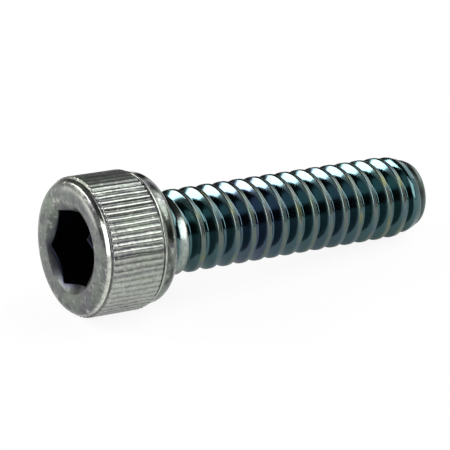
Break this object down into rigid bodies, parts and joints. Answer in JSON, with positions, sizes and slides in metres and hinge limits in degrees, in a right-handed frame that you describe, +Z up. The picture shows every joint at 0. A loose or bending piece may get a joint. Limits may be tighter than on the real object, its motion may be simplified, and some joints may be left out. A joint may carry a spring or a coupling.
{
  "type": "socket head cap screw",
  "caption": "Zinc-plated socket head cap screw with a straight-knurled cylindrical head, a hexagon socket and a full-length coarse thread.",
  "frame": {"origin": "On the surface that the screw lies on, under the centre of its box", "axes": "+Z up. The screw lies on its side with its axis in the XZ plane: the head is at -X, the tip at +X, and the axis falls 4.8 degrees towards the tip"},
  "size_m": [0.0234, 0.0078, 0.008],
  "materials": {
    "zinc_plate": "clear blue zinc plate on alloy steel, satin on the head and glossy on the rolled thread"
  },
  "bodies": {
    "root": {"cap_screw": "zinc_plate"}
  },
  "joints": []
}
